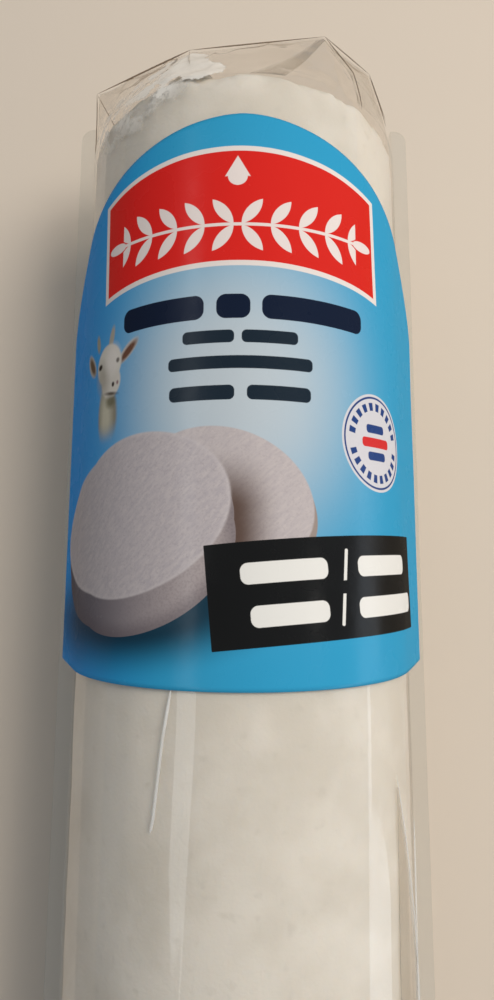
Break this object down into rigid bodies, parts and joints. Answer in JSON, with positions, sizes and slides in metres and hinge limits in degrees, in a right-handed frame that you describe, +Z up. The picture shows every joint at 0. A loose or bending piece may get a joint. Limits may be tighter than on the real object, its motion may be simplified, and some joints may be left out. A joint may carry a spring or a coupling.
{
  "type": "wrapped goat cheese log",
  "caption": "Long round log of fresh goat cheese sealed in clear film with folded ends, lying in a clear open-ended tray under an arch-topped label.",
  "frame": {"origin": "middle of the flat underside of the tray, on the surface that the log lies on", "axes": "+Y along the log towards the end that the label is nearer to, +Z up, +X across"},
  "size_m": [0.0788, 0.285, 0.0709],
  "materials": {
    "cheese_in_film": "white fresh cheese under clear glossy film",
    "clear_tray": "clear glossy plastic sheet",
    "printed_label": "glossy print on plastic film"
  },
  "bodies": {
    "root": {"wrapped_cheese": "cheese_in_film", "tray": "clear_tray", "label": "printed_label"}
  },
  "joints": []
}
